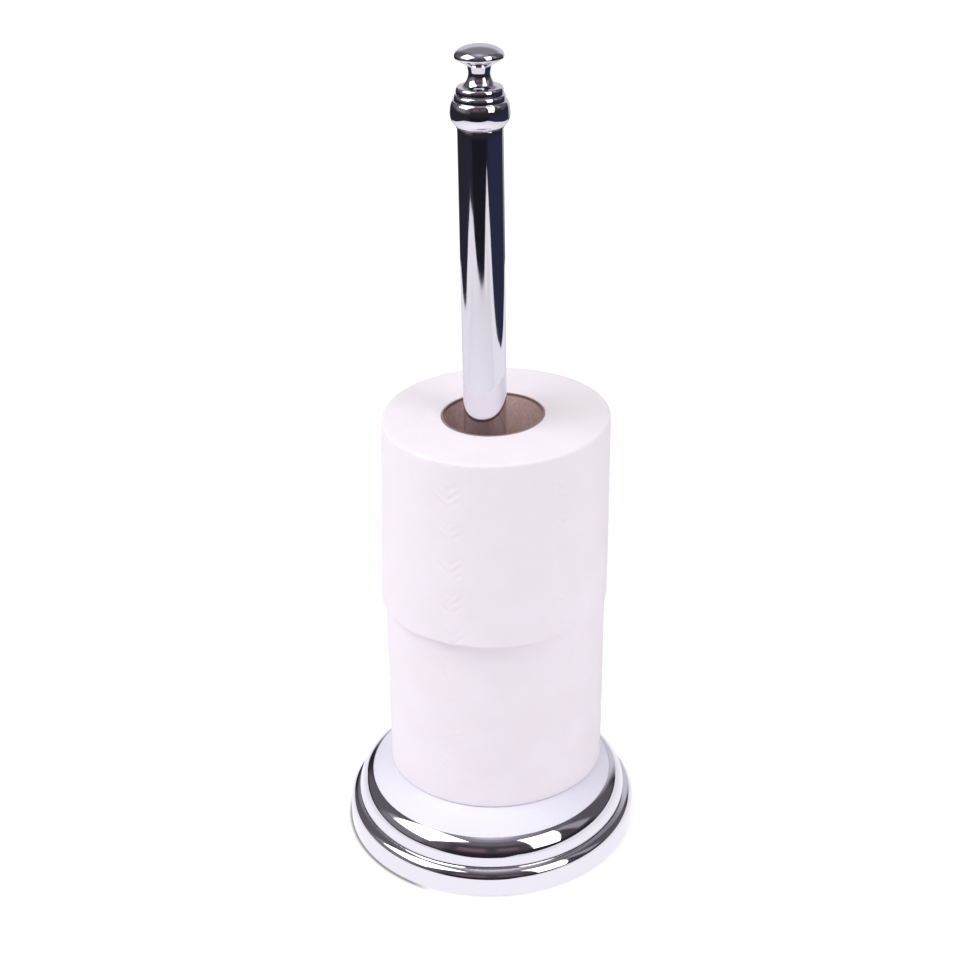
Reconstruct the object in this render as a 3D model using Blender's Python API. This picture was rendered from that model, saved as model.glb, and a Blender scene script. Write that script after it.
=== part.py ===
"""Freestanding toilet paper holder: a weighted, stepped round base, a chromed post with a
turned finial, and the two paper rolls stored on the post.

Units are metres and +Z is up. The origin is the middle of the underside of the base pad,
on the axis of the post. Every round metal piece is turned about that axis.
"""

import math

import bmesh
import bpy

MM = 0.001

# Fits
FIT_GAP = 0.3 * MM
CUT_OVERRUN = 1.0 * MM

# Base pad
PAD_THICKNESS = 2.0 * MM
PAD_HOLE_RADIUS = 14.0 * MM

# Base cover, a pressed shell with two beads and a recessed shoulder
COVER_WALL = 1.2 * MM
RIM_RADIUS = 72.5 * MM
RIM_LIFT = 0.7 * MM
RIM_WALL_HEIGHT = 8.0 * MM
LOWER_BEAD_RADIUS = 5.3 * MM
STEP_WIDTH = 4.8 * MM
LEDGE_SLOPE = math.radians(14)
UPPER_WALL_HEIGHT = 1.6 * MM
UPPER_BEAD_RADIUS = 12.0 * MM
SEAT_RADIUS = 44.5 * MM
SHOULDER_TOP_SLOPE = math.radians(14)
SHOULDER_FOOT_SLOPE = math.radians(23)
RIGHT_ANGLE = math.radians(90)

# Seat plate, a white disc let into the cover's shoulder
PLATE_THICKNESS = 1.9 * MM

# Base weight, a casting under the cover
WEIGHT_EDGE_ANGLE = math.radians(45)
WEIGHT_BOSS_RADIUS = 24.0 * MM
WEIGHT_BOSS_WEB = 14.0 * MM
COUNTERBORE_CLEARANCE = 1.0 * MM

# Clamp screw with its two washers
SCREW_RADIUS = 4.0 * MM
SCREW_LENGTH = 35.0 * MM
SCREW_HEAD_FLATS = 13.0 * MM
SCREW_HEAD_HEIGHT = 5.3 * MM
WASHER_RADIUS = 12.0 * MM
WASHER_THICKNESS = 1.6 * MM
LOCK_WASHER_RADIUS = 7.4 * MM
LOCK_WASHER_THICKNESS = 2.0 * MM
LOCK_WASHER_TURN = math.radians(352)

# Post
TUBE_RADIUS = 10.0 * MM
TUBE_WALL = 1.0 * MM
TUBE_LENGTH = 326.9 * MM
FOOT_PLUG_LENGTH = 22.0 * MM
HEAD_PLUG_LENGTH = 15.0 * MM
STUD_RADIUS = 3.0 * MM
STUD_BITE_BELOW = 12.0 * MM
STUD_BITE_ABOVE = 9.0 * MM

# Finial collar: spigot, skirt, bulb and ring, from the bottom up
SPIGOT_LENGTH = 6.0 * MM
SKIRT_OVERHANG = 0.6 * MM
SKIRT_HEIGHT = 0.5 * MM
BULB_SWELL = 2.4 * MM
BULB_BELLY_HEIGHT = 5.1 * MM
BULB_SHOULDER_INSET = 1.8 * MM
BULB_SHOULDER_HEIGHT = 5.7 * MM
RING_WALL_HEIGHT = 0.6 * MM
RING_ROUND_WIDTH = 1.1 * MM
RING_ROUND_HEIGHT = 2.1 * MM

# Finial knob: flange, cavetto, neck and mushroom cap, from the bottom up
FLANGE_RADIUS = 10.3 * MM
FLANGE_WALL_HEIGHT = 0.6 * MM
FLANGE_ROUND_WIDTH = 1.0 * MM
FLANGE_ROUND_HEIGHT = 2.1 * MM
NECK_RADIUS = 4.7 * MM
NECK_TOP_RADIUS = 5.2 * MM
CAVETTO_WIDTH = 4.6 * MM
CAVETTO_HEIGHT = 6.1 * MM
NECK_HEIGHT = 2.8 * MM
CAP_RADIUS = 10.7 * MM
CAP_EDGE_ROUND = 1.0 * MM
CAP_EDGE_TUCK = math.radians(60)
CAP_CROWN_HEIGHT = 4.7 * MM
CAP_UNDERSIDE_HEIGHT = 3.9 * MM

# Paper rolls
ROLL_WIDTH = 94.6 * MM
CORE_BORE_RADIUS = 23.2 * MM
CORE_WALL = 0.9 * MM
UPPER_PAPER_RADIUS = 54.0 * MM
LOWER_PAPER_RADIUS = 53.65 * MM
PAPER_EDGE_ROUND = 1.2 * MM
PAPER_TAIL_STEP = 0.4 * MM
UPPER_TAIL_ANGLE = math.radians(118)
LOWER_TAIL_ANGLE = math.radians(64)
LOWER_ROLL_OFFSET = (2.7 * MM, 9.3 * MM)
UPPER_ROLL_OFFSET = (3.6 * MM, 4.9 * MM)

# Facets
COVER_STEPS = 60
TURNED_STEPS = 36
SMALL_STEPS = 24
HEX_SIDES = 6
PAPER_STEPS = 72
BEAD_POINTS = 6
SHOULDER_POINTS = 4
SMALL_ARC_POINTS = 5
CAP_POINTS = 9
MERGE_DISTANCE = 1e-6
SHARP_ANGLE = math.radians(35)

# Heights of the stack, worked out from the sizes above
RIM_TOP = RIM_LIFT + RIM_WALL_HEIGHT
UPPER_WALL_RADIUS = RIM_RADIUS - STEP_WIDTH
BEAD_END_RADIUS = RIM_RADIUS - LOWER_BEAD_RADIUS * (1 - math.sin(LEDGE_SLOPE))
LEDGE_RISE = (BEAD_END_RADIUS - UPPER_WALL_RADIUS) * math.tan(LEDGE_SLOPE)
LEDGE_HEIGHT = RIM_TOP + LOWER_BEAD_RADIUS * math.cos(LEDGE_SLOPE) + LEDGE_RISE
UPPER_BEAD_HEIGHT = LEDGE_HEIGHT + UPPER_WALL_HEIGHT
SHOULDER_FOOT_RADIUS = UPPER_WALL_RADIUS - UPPER_BEAD_RADIUS * (1 - math.sin(SHOULDER_FOOT_SLOPE))
SHOULDER_FOOT_HEIGHT = UPPER_BEAD_HEIGHT + UPPER_BEAD_RADIUS * math.cos(SHOULDER_FOOT_SLOPE)
SHOULDER_CURVE = (SHOULDER_FOOT_RADIUS - SEAT_RADIUS) / (
    math.sin(SHOULDER_FOOT_SLOPE) - math.sin(SHOULDER_TOP_SLOPE)
)
SEAT_HEIGHT = SHOULDER_FOOT_HEIGHT + SHOULDER_CURVE * (
    math.cos(SHOULDER_TOP_SLOPE) - math.cos(SHOULDER_FOOT_SLOPE)
)
SHOULDER_CENTRE = (
    SHOULDER_FOOT_RADIUS - SHOULDER_CURVE * math.sin(SHOULDER_FOOT_SLOPE),
    SHOULDER_FOOT_HEIGHT - SHOULDER_CURVE * math.cos(SHOULDER_FOOT_SLOPE),
)
PLATE_DROP = PLATE_THICKNESS + FIT_GAP
SCREW_HOLE_RADIUS = SCREW_RADIUS + FIT_GAP
BOSS_TOP = SEAT_HEIGHT - PLATE_DROP - COVER_WALL - FIT_GAP
WASHER_TOP = BOSS_TOP - WEIGHT_BOSS_WEB - FIT_GAP
LOCK_WASHER_TOP = WASHER_TOP - WASHER_THICKNESS - FIT_GAP
SCREW_HEAD_TOP = LOCK_WASHER_TOP - LOCK_WASHER_THICKNESS - FIT_GAP
TUBE_FOOT = SEAT_HEIGHT + FIT_GAP
TUBE_TOP = TUBE_FOOT + TUBE_LENGTH
TUBE_BORE_RADIUS = TUBE_RADIUS - TUBE_WALL
PLUG_RADIUS = TUBE_BORE_RADIUS - FIT_GAP
COLLAR_FOOT = TUBE_TOP + FIT_GAP
HEAD_PLUG_TOP = COLLAR_FOOT - SPIGOT_LENGTH - FIT_GAP
SKIRT_RADIUS = TUBE_RADIUS + SKIRT_OVERHANG
SKIRT_TOP = COLLAR_FOOT + SKIRT_HEIGHT
BULB_RADIUS = SKIRT_RADIUS + BULB_SWELL
BULB_HEIGHT = SKIRT_TOP + BULB_BELLY_HEIGHT
RING_RADIUS = BULB_RADIUS - BULB_SHOULDER_INSET
RING_FOOT = BULB_HEIGHT + BULB_SHOULDER_HEIGHT
RING_WALL_TOP = RING_FOOT + RING_WALL_HEIGHT
COLLAR_TOP = RING_WALL_TOP + RING_ROUND_HEIGHT
KNOB_FOOT = COLLAR_TOP + FIT_GAP
STUD_HOLE_RADIUS = STUD_RADIUS + FIT_GAP
STUD_TOP = KNOB_FOOT + STUD_BITE_ABOVE
FLANGE_WALL_TOP = KNOB_FOOT + FLANGE_WALL_HEIGHT
FLANGE_TOP = FLANGE_WALL_TOP + FLANGE_ROUND_HEIGHT
NECK_FOOT = FLANGE_TOP + CAVETTO_HEIGHT
NECK_TOP = NECK_FOOT + NECK_HEIGHT
CAP_EDGE_HEIGHT = NECK_TOP + CAP_UNDERSIDE_HEIGHT
CORE_RADIUS = CORE_BORE_RADIUS + CORE_WALL
PAPER_BORE_RADIUS = CORE_RADIUS + FIT_GAP
LOWER_ROLL_HEIGHT = SEAT_HEIGHT + FIT_GAP
UPPER_ROLL_RISE = ROLL_WIDTH + FIT_GAP


def clear_scene():
    """Remove whatever objects the scene starts with."""
    for obj in list(bpy.data.objects):
        bpy.data.objects.remove(obj)


def linear_from_hex(hex_colour):
    """Turn an sRGB hex colour into linear values."""
    channels = [int(hex_colour[start:start + 2], 16) / 255 for start in (0, 2, 4)]
    return [c / 12.92 if c <= 0.04045 else ((c + 0.055) / 1.055) ** 2.4 for c in channels]


def make_material(name, hex_colour, roughness, metallic):
    """A Principled BSDF of one colour."""
    material = bpy.data.materials.new(name)
    material.use_nodes = True
    shader = material.node_tree.nodes["Principled BSDF"]
    shader.inputs["Base Color"].default_value = (*linear_from_hex(hex_colour), 1.0)
    shader.inputs["Roughness"].default_value = roughness
    shader.inputs["Metallic"].default_value = metallic
    return material


def elliptic_arc(centre, half_width, half_height, start, end, points):
    """Outline points on an ellipse, at angles from start to end, measured from +R to +Z."""
    outline = []
    for index in range(points):
        angle = start + (end - start) * index / (points - 1)
        radius = centre[0] + half_width * math.cos(angle)
        outline.append((radius, centre[1] + half_height * math.sin(angle)))
    return outline


def round_arc(centre, arc_radius, start, end, points):
    """Outline points on a circle."""
    return elliptic_arc(centre, arc_radius, arc_radius, start, end, points)


def add_object(name, mesh, material, parent):
    """Put a mesh into the scene as a named piece, shaded smooth but for its edges."""
    mesh.shade_smooth()
    mesh.set_sharp_from_angle(angle=SHARP_ANGLE)
    mesh.materials.append(material)
    piece = bpy.data.objects.new(name, mesh)
    bpy.context.collection.objects.link(piece)
    piece.parent = parent
    return piece


def add_empty(name, location, parent=None):
    """An empty that carries the pieces of one body."""
    empty = bpy.data.objects.new(name, None)
    bpy.context.collection.objects.link(empty)
    empty.location = location
    empty.parent = parent
    return empty


def turned(name, outline, steps, material, parent, turn=math.tau):
    """Spin a closed outline of (radius, height) points about Z.

    An outline that starts and ends on the axis makes a solid piece, and a turn of less
    than a full circle is closed by its two end faces.
    """
    shape = bmesh.new()
    corners = [shape.verts.new((radius, 0.0, height)) for radius, height in outline]
    solid_core = outline[0][0] == 0.0 and outline[-1][0] == 0.0
    edges = [shape.edges.new(pair) for pair in zip(corners, corners[1:])]
    if not solid_core:
        edges.append(shape.edges.new((corners[-1], corners[0])))
    bmesh.ops.spin(
        shape,
        geom=corners + edges,
        cent=(0.0, 0.0, 0.0),
        axis=(0.0, 0.0, 1.0),
        angle=turn,
        steps=steps,
        use_merge=turn == math.tau,
    )
    bmesh.ops.remove_doubles(shape, verts=shape.verts, dist=MERGE_DISTANCE)
    bmesh.ops.holes_fill(shape, edges=shape.edges)
    bmesh.ops.recalc_face_normals(shape, faces=shape.faces)
    mesh = bpy.data.meshes.new(name)
    shape.to_mesh(mesh)
    shape.free()
    return add_object(name, mesh, material, parent)


def lofted(name, rings, material, parent):
    """Skin rings that have the same number of points, and close the first and last one."""
    shape = bmesh.new()
    skin = [[shape.verts.new(point) for point in ring] for ring in rings]
    for lower, upper in zip(skin, skin[1:]):
        for index in range(len(lower)):
            after = (index + 1) % len(lower)
            shape.faces.new((lower[index], lower[after], upper[after], upper[index]))
    shape.faces.new(skin[0])
    shape.faces.new(skin[-1])
    bmesh.ops.recalc_face_normals(shape, faces=shape.faces)
    mesh = bpy.data.meshes.new(name)
    shape.to_mesh(mesh)
    shape.free()
    return add_object(name, mesh, material, parent)


def tube_outline(inner, outer, foot, top):
    """The section of a plain ring or tube."""
    return [(outer, foot), (outer, top), (inner, top), (inner, foot)]


def shoulder_outline(edge_radius, drop, inset):
    """The sloping shoulder, from its outer edge up to the flat seat and the screw hole.

    A drop lowers it as a whole and an inset moves it in along its own slope.
    """
    shoulder_radius = SHOULDER_CURVE - inset
    seat = SEAT_HEIGHT - inset
    outline = round_arc(
        (SHOULDER_CENTRE[0], SHOULDER_CENTRE[1] - drop),
        shoulder_radius,
        math.acos((edge_radius - SHOULDER_CENTRE[0]) / shoulder_radius),
        math.asin((seat - SHOULDER_CENTRE[1]) / shoulder_radius),
        SHOULDER_POINTS,
    )
    outline.append((SCREW_HOLE_RADIUS, seat - drop))
    return outline


def cover_outline(inset):
    """One skin of the base cover, from its rim up to the screw hole.

    The outer skin has no inset and the inner one lies a wall's thickness behind it, with
    the same centres to its arcs. A straight ledge rises from the lower bead to the crease,
    and the shoulder is stepped down to take the seat plate.
    """
    lower_centre = (RIM_RADIUS - LOWER_BEAD_RADIUS, RIM_TOP)
    lower_radius = LOWER_BEAD_RADIUS - inset
    bead_end = RIGHT_ANGLE - LEDGE_SLOPE
    upper_centre = (UPPER_WALL_RADIUS - UPPER_BEAD_RADIUS, UPPER_BEAD_HEIGHT)
    upper_radius = UPPER_BEAD_RADIUS - inset
    step_radius = SHOULDER_FOOT_RADIUS + inset
    step_angle = math.acos((step_radius - upper_centre[0]) / upper_radius)
    crease = LEDGE_HEIGHT + inset * (math.tan(LEDGE_SLOPE) - 1 / math.cos(LEDGE_SLOPE))
    outline = [(RIM_RADIUS - inset, RIM_LIFT)]
    outline += round_arc(lower_centre, lower_radius, 0.0, bead_end, BEAD_POINTS)
    outline.append((UPPER_WALL_RADIUS - inset, crease))
    outline += round_arc(upper_centre, upper_radius, 0.0, step_angle, BEAD_POINTS)
    outline += shoulder_outline(step_radius, PLATE_DROP, inset)
    return outline


def build_base(materials, stand):
    """Pad, weight, cover and seat plate, from the floor up."""
    rim_bore = RIM_RADIUS - COVER_WALL - FIT_GAP
    turned(
        "base_pad",
        tube_outline(PAD_HOLE_RADIUS, rim_bore, 0.0, PAD_THICKNESS),
        COVER_STEPS,
        materials["foam"],
        stand,
    )

    foot = PAD_THICKNESS + FIT_GAP
    edge_centre = (RIM_RADIUS - LOWER_BEAD_RADIUS, RIM_TOP)
    edge_radius = LOWER_BEAD_RADIUS - COVER_WALL - FIT_GAP
    edge = round_arc(edge_centre, edge_radius, 0.0, WEIGHT_EDGE_ANGLE, SMALL_ARC_POINTS)
    washer_seat = BOSS_TOP - WEIGHT_BOSS_WEB
    counterbore = WASHER_RADIUS + COUNTERBORE_CLEARANCE
    weight_outline = [(counterbore, foot), (rim_bore, foot)]
    weight_outline += edge
    weight_outline += [
        (WEIGHT_BOSS_RADIUS, edge[-1][1]),
        (WEIGHT_BOSS_RADIUS, BOSS_TOP),
        (SCREW_HOLE_RADIUS, BOSS_TOP),
        (SCREW_HOLE_RADIUS, washer_seat),
        (counterbore, washer_seat),
    ]
    turned("base_weight", weight_outline, COVER_STEPS, materials["cast_iron"], stand)

    cover = cover_outline(0.0) + cover_outline(COVER_WALL)[::-1]
    turned("base_cover", cover, COVER_STEPS, materials["chrome"], stand)

    plate_radius = SHOULDER_FOOT_RADIUS - FIT_GAP
    plate = shoulder_outline(plate_radius, 0.0, 0.0)
    plate += shoulder_outline(plate_radius, PLATE_THICKNESS, 0.0)[::-1]
    turned("seat_plate", plate, COVER_STEPS, materials["white_gloss"], stand)


def hex_radius(flats, angle):
    """Distance from the axis to the side of a hexagon, corner at angle zero."""
    side_angle = math.tau / HEX_SIDES
    return flats / 2 / math.cos(angle % side_angle - side_angle / 2)


def build_clamp(materials, stand):
    """The screw that clamps the base to the post, and the washers under its head."""
    turned(
        "clamp_washer",
        tube_outline(SCREW_HOLE_RADIUS, WASHER_RADIUS, WASHER_TOP - WASHER_THICKNESS, WASHER_TOP),
        TURNED_STEPS,
        materials["zinc_steel"],
        stand,
    )
    lock_foot = LOCK_WASHER_TOP - LOCK_WASHER_THICKNESS
    turned(
        "lock_washer",
        tube_outline(SCREW_HOLE_RADIUS, LOCK_WASHER_RADIUS, lock_foot, LOCK_WASHER_TOP),
        TURNED_STEPS,
        materials["zinc_steel"],
        stand,
        LOCK_WASHER_TURN,
    )

    angles = [math.tau * index / SMALL_STEPS for index in range(SMALL_STEPS)]

    def ring(radii, height):
        return [(r * math.cos(a), r * math.sin(a), height) for r, a in zip(radii, angles)]

    head = [hex_radius(SCREW_HEAD_FLATS, angle) for angle in angles]
    shank = [SCREW_RADIUS] * SMALL_STEPS
    screw_rings = [
        ring(head, SCREW_HEAD_TOP - SCREW_HEAD_HEIGHT),
        ring(head, SCREW_HEAD_TOP),
        ring(shank, SCREW_HEAD_TOP),
        ring(shank, SCREW_HEAD_TOP + SCREW_LENGTH),
    ]
    lofted("clamp_screw", screw_rings, materials["zinc_steel"], stand)


def build_post(materials, stand):
    """The tube, the threaded plug pressed into each end, and the stud in the upper one."""
    turned(
        "post_tube",
        tube_outline(TUBE_BORE_RADIUS, TUBE_RADIUS, TUBE_FOOT, TUBE_TOP),
        TURNED_STEPS,
        materials["chrome"],
        stand,
    )
    turned(
        "post_foot_plug",
        tube_outline(SCREW_HOLE_RADIUS, PLUG_RADIUS, TUBE_FOOT, TUBE_FOOT + FOOT_PLUG_LENGTH),
        SMALL_STEPS,
        materials["zinc_steel"],
        stand,
    )
    head_foot = HEAD_PLUG_TOP - HEAD_PLUG_LENGTH
    turned(
        "post_head_plug",
        tube_outline(STUD_HOLE_RADIUS, PLUG_RADIUS, head_foot, HEAD_PLUG_TOP),
        SMALL_STEPS,
        materials["zinc_steel"],
        stand,
    )
    stud_foot = HEAD_PLUG_TOP - STUD_BITE_BELOW
    stud = [(0.0, stud_foot), (STUD_RADIUS, stud_foot), (STUD_RADIUS, STUD_TOP), (0.0, STUD_TOP)]
    turned("finial_stud", stud, SMALL_STEPS, materials["zinc_steel"], stand)


def build_finial(materials, stand):
    """The collar that caps the tube and the knob screwed down on it."""
    belly_curve = (BULB_SWELL ** 2 + BULB_BELLY_HEIGHT ** 2) / (2 * BULB_SWELL)
    belly_centre = (BULB_RADIUS - belly_curve, BULB_HEIGHT)
    belly_start = -math.asin(BULB_BELLY_HEIGHT / belly_curve)
    spigot_foot = COLLAR_FOOT - SPIGOT_LENGTH
    collar = [
        (STUD_HOLE_RADIUS, spigot_foot),
        (PLUG_RADIUS, spigot_foot),
        (PLUG_RADIUS, COLLAR_FOOT),
        (SKIRT_RADIUS, COLLAR_FOOT),
    ]
    collar += round_arc(belly_centre, belly_curve, belly_start, 0.0, SMALL_ARC_POINTS)
    collar += elliptic_arc(
        (RING_RADIUS, BULB_HEIGHT),
        BULB_SHOULDER_INSET,
        BULB_SHOULDER_HEIGHT,
        0.0,
        RIGHT_ANGLE,
        BEAD_POINTS,
    )[1:]
    collar += elliptic_arc(
        (RING_RADIUS - RING_ROUND_WIDTH, RING_WALL_TOP),
        RING_ROUND_WIDTH,
        RING_ROUND_HEIGHT,
        0.0,
        RIGHT_ANGLE,
        SMALL_ARC_POINTS,
    )
    collar.append((STUD_HOLE_RADIUS, COLLAR_TOP))
    turned("finial_collar", collar, TURNED_STEPS, materials["chrome"], stand)

    stud_hole_top = STUD_TOP + FIT_GAP
    knob = [
        (0.0, stud_hole_top),
        (STUD_HOLE_RADIUS, stud_hole_top),
        (STUD_HOLE_RADIUS, KNOB_FOOT),
        (FLANGE_RADIUS, KNOB_FOOT),
    ]
    knob += elliptic_arc(
        (FLANGE_RADIUS - FLANGE_ROUND_WIDTH, FLANGE_WALL_TOP),
        FLANGE_ROUND_WIDTH,
        FLANGE_ROUND_HEIGHT,
        0.0,
        RIGHT_ANGLE,
        SMALL_ARC_POINTS,
    )
    knob += elliptic_arc(
        (NECK_RADIUS + CAVETTO_WIDTH, NECK_FOOT),
        CAVETTO_WIDTH,
        CAVETTO_HEIGHT,
        -RIGHT_ANGLE,
        -2 * RIGHT_ANGLE,
        BEAD_POINTS,
    )
    knob.append((NECK_TOP_RADIUS, NECK_TOP))
    knob += round_arc(
        (CAP_RADIUS - CAP_EDGE_ROUND, CAP_EDGE_HEIGHT),
        CAP_EDGE_ROUND,
        -CAP_EDGE_TUCK,
        0.0,
        SMALL_ARC_POINTS,
    )
    crown = elliptic_arc(
        (0.0, CAP_EDGE_HEIGHT), CAP_RADIUS, CAP_CROWN_HEIGHT, 0.0, RIGHT_ANGLE, CAP_POINTS
    )
    knob += crown[1:-1]
    knob.append((0.0, CAP_EDGE_HEIGHT + CAP_CROWN_HEIGHT))
    turned("finial_knob", knob, TURNED_STEPS, materials["chrome"], stand)


def paper_ring(paper_radius, tail_angle, height):
    """The outline of the wound paper: its radius grows by one step up to the free edge."""
    points = []
    for index in range(PAPER_STEPS + 1):
        share = index / PAPER_STEPS
        angle = tail_angle + math.tau * share
        radius = paper_radius - PAPER_TAIL_STEP * (1 - share)
        points.append((radius * math.cos(angle), radius * math.sin(angle), height))
    return points


def build_roll(prefix, paper_radius, tail_angle, materials, carrier):
    """A cardboard core and the paper wound on it, standing on the carrier's origin."""
    turned(
        prefix + "_core",
        tube_outline(CORE_BORE_RADIUS, CORE_RADIUS, 0.0, ROLL_WIDTH),
        TURNED_STEPS,
        materials["core_board"],
        carrier,
    )

    end_radius = paper_radius - PAPER_EDGE_ROUND
    rings = [
        paper_ring(end_radius, tail_angle, 0.0),
        paper_ring(paper_radius, tail_angle, PAPER_EDGE_ROUND),
        paper_ring(paper_radius, tail_angle, ROLL_WIDTH - PAPER_EDGE_ROUND),
        paper_ring(end_radius, tail_angle, ROLL_WIDTH),
    ]
    paper = lofted(prefix + "_paper", rings, materials["tissue"], carrier)

    cutter_top = ROLL_WIDTH + CUT_OVERRUN
    bore = [
        (0.0, -CUT_OVERRUN),
        (PAPER_BORE_RADIUS, -CUT_OVERRUN),
        (PAPER_BORE_RADIUS, cutter_top),
        (0.0, cutter_top),
    ]
    cutter = turned(prefix + "_bore_cutter", bore, TURNED_STEPS, materials["tissue"], carrier)
    cutter.hide_render = True
    cutter.display_type = "WIRE"
    cut = paper.modifiers.new("bore", "BOOLEAN")
    cut.operation = "DIFFERENCE"
    cut.object = cutter


def build_holder():
    """The whole holder, with one empty for each body that moves on its own."""
    clear_scene()
    materials = {
        "chrome": make_material("chrome_plate", "DADBE2", 0.06, 1.0),
        "white_gloss": make_material("white_gloss", "F6F4FC", 0.12, 0.0),
        "cast_iron": make_material("cast_iron", "3C3D40", 0.65, 0.6),
        "foam": make_material("pad_foam", "26262A", 0.9, 0.0),
        "zinc_steel": make_material("zinc_plated_steel", "A9ACB0", 0.35, 1.0),
        "core_board": make_material("core_board", "A8958B", 0.85, 0.0),
        "tissue": make_material("tissue_paper", "F5EEF3", 0.95, 0.0),
    }
    stand = add_empty("stand", (0.0, 0.0, 0.0))
    build_base(materials, stand)
    build_clamp(materials, stand)
    build_post(materials, stand)
    build_finial(materials, stand)

    lower = add_empty("lower_roll", (*LOWER_ROLL_OFFSET, LOWER_ROLL_HEIGHT))
    build_roll("lower_roll", LOWER_PAPER_RADIUS, LOWER_TAIL_ANGLE, materials, lower)
    upper_place = (
        UPPER_ROLL_OFFSET[0] - LOWER_ROLL_OFFSET[0],
        UPPER_ROLL_OFFSET[1] - LOWER_ROLL_OFFSET[1],
        UPPER_ROLL_RISE,
    )
    upper = add_empty("upper_roll", upper_place, lower)
    build_roll("upper_roll", UPPER_PAPER_RADIUS, UPPER_TAIL_ANGLE, materials, upper)


build_holder()
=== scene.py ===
"""Looks of a freestanding toilet paper holder: a stepped base in polished chrome plate with
a glossy white seat plate, a chromed post with a turned finial, and two rolls of embossed
tissue on cardboard cores.

Shapes are worked out in millimetres from the same sizes as the CAD part, and become
metres when they are put into a mesh. Angles about the post are counted from +X towards
+Y, so the photograph looks at the side at 270 degrees.
"""

import math

import bmesh
import bpy
import numpy as np
from mathutils import Matrix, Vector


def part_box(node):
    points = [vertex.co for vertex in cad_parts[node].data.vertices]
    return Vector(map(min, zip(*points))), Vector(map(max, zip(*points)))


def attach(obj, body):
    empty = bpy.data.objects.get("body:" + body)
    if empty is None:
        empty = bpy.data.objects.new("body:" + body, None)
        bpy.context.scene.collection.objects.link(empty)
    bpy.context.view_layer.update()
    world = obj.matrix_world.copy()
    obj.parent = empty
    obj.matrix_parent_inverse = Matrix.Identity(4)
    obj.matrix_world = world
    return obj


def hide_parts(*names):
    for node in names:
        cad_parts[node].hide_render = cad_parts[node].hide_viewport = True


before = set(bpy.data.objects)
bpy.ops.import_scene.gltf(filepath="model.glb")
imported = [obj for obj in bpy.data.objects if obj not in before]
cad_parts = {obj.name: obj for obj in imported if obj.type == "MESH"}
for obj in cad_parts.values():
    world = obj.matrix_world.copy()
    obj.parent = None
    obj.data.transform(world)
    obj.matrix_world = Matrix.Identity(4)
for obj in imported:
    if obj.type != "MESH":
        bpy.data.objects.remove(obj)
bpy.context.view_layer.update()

MM = 0.001
TURN = 2 * np.pi

# Sizes that the CAD part has too
FIT_GAP = 0.3
PAD_THICKNESS = 2.0
PAD_HOLE_RADIUS = 14.0
COVER_WALL = 1.2
RIM_RADIUS = 72.5
RIM_LIFT = 0.7
RIM_WALL_HEIGHT = 8.0
LOWER_BEAD_RADIUS = 5.3
STEP_WIDTH = 4.8
LEDGE_SLOPE = np.radians(14)
UPPER_WALL_HEIGHT = 1.6
UPPER_BEAD_RADIUS = 12.0
SEAT_RADIUS = 44.5
SHOULDER_TOP_SLOPE = np.radians(14)
SHOULDER_FOOT_SLOPE = np.radians(23)
PLATE_THICKNESS = 1.9
WEIGHT_BOSS_WEB = 14.0
SCREW_RADIUS = 4.0
SCREW_LENGTH = 35.0
SCREW_HEAD_FLATS = 13.0
SCREW_HEAD_HEIGHT = 5.3
WASHER_RADIUS = 12.0
WASHER_THICKNESS = 1.6
LOCK_WASHER_THICKNESS = 2.0
TUBE_RADIUS = 10.0
TUBE_WALL = 1.0
TUBE_LENGTH = 326.9
STUD_RADIUS = 3.0
STUD_BITE_ABOVE = 9.0
SPIGOT_LENGTH = 6.0
SKIRT_OVERHANG = 0.6
SKIRT_HEIGHT = 0.5
BULB_SWELL = 2.4
BULB_BELLY_HEIGHT = 5.1
BULB_SHOULDER_INSET = 1.8
BULB_SHOULDER_HEIGHT = 5.7
RING_WALL_HEIGHT = 0.6
RING_ROUND_WIDTH = 1.1
RING_ROUND_HEIGHT = 2.1
FLANGE_RADIUS = 10.3
FLANGE_WALL_HEIGHT = 0.6
FLANGE_ROUND_WIDTH = 1.0
FLANGE_ROUND_HEIGHT = 2.1
NECK_RADIUS = 4.7
NECK_TOP_RADIUS = 5.2
CAVETTO_WIDTH = 4.6
CAVETTO_HEIGHT = 6.1
NECK_HEIGHT = 2.8
CAP_RADIUS = 10.7
CAP_EDGE_ROUND = 1.0
CAP_CROWN_HEIGHT = 4.7
CAP_UNDERSIDE_HEIGHT = 3.9
ROLL_WIDTH = 94.6
CORE_BORE_RADIUS = 23.2
CORE_WALL = 0.9
PAPER_TAIL_STEP = 0.4

# Sizes of the looks alone: the core's joint climbs by BOARD_CLIMB in one turn, and the
# embossing has MARK_COLUMNS columns round a roll, turned by MARK_TURN degrees
PLATE_EDGE_GAP = 0.08
BOARD_CLIMB = 82.0
PAPER_CORE_GAP = 0.05
MARK_COLUMNS = 6
MARK_TURN = 7

# Points round the pieces, and up the side of the paper
COVER_COLUMNS = 192
PAD_COLUMNS = 160
TURNED_COLUMNS = 96
CORE_COLUMNS = 160
PAPER_COLUMNS = 481
PAPER_ROWS = 120

# Points closer than this become one, in metres
MERGE_DISTANCE = 1e-6

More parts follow.
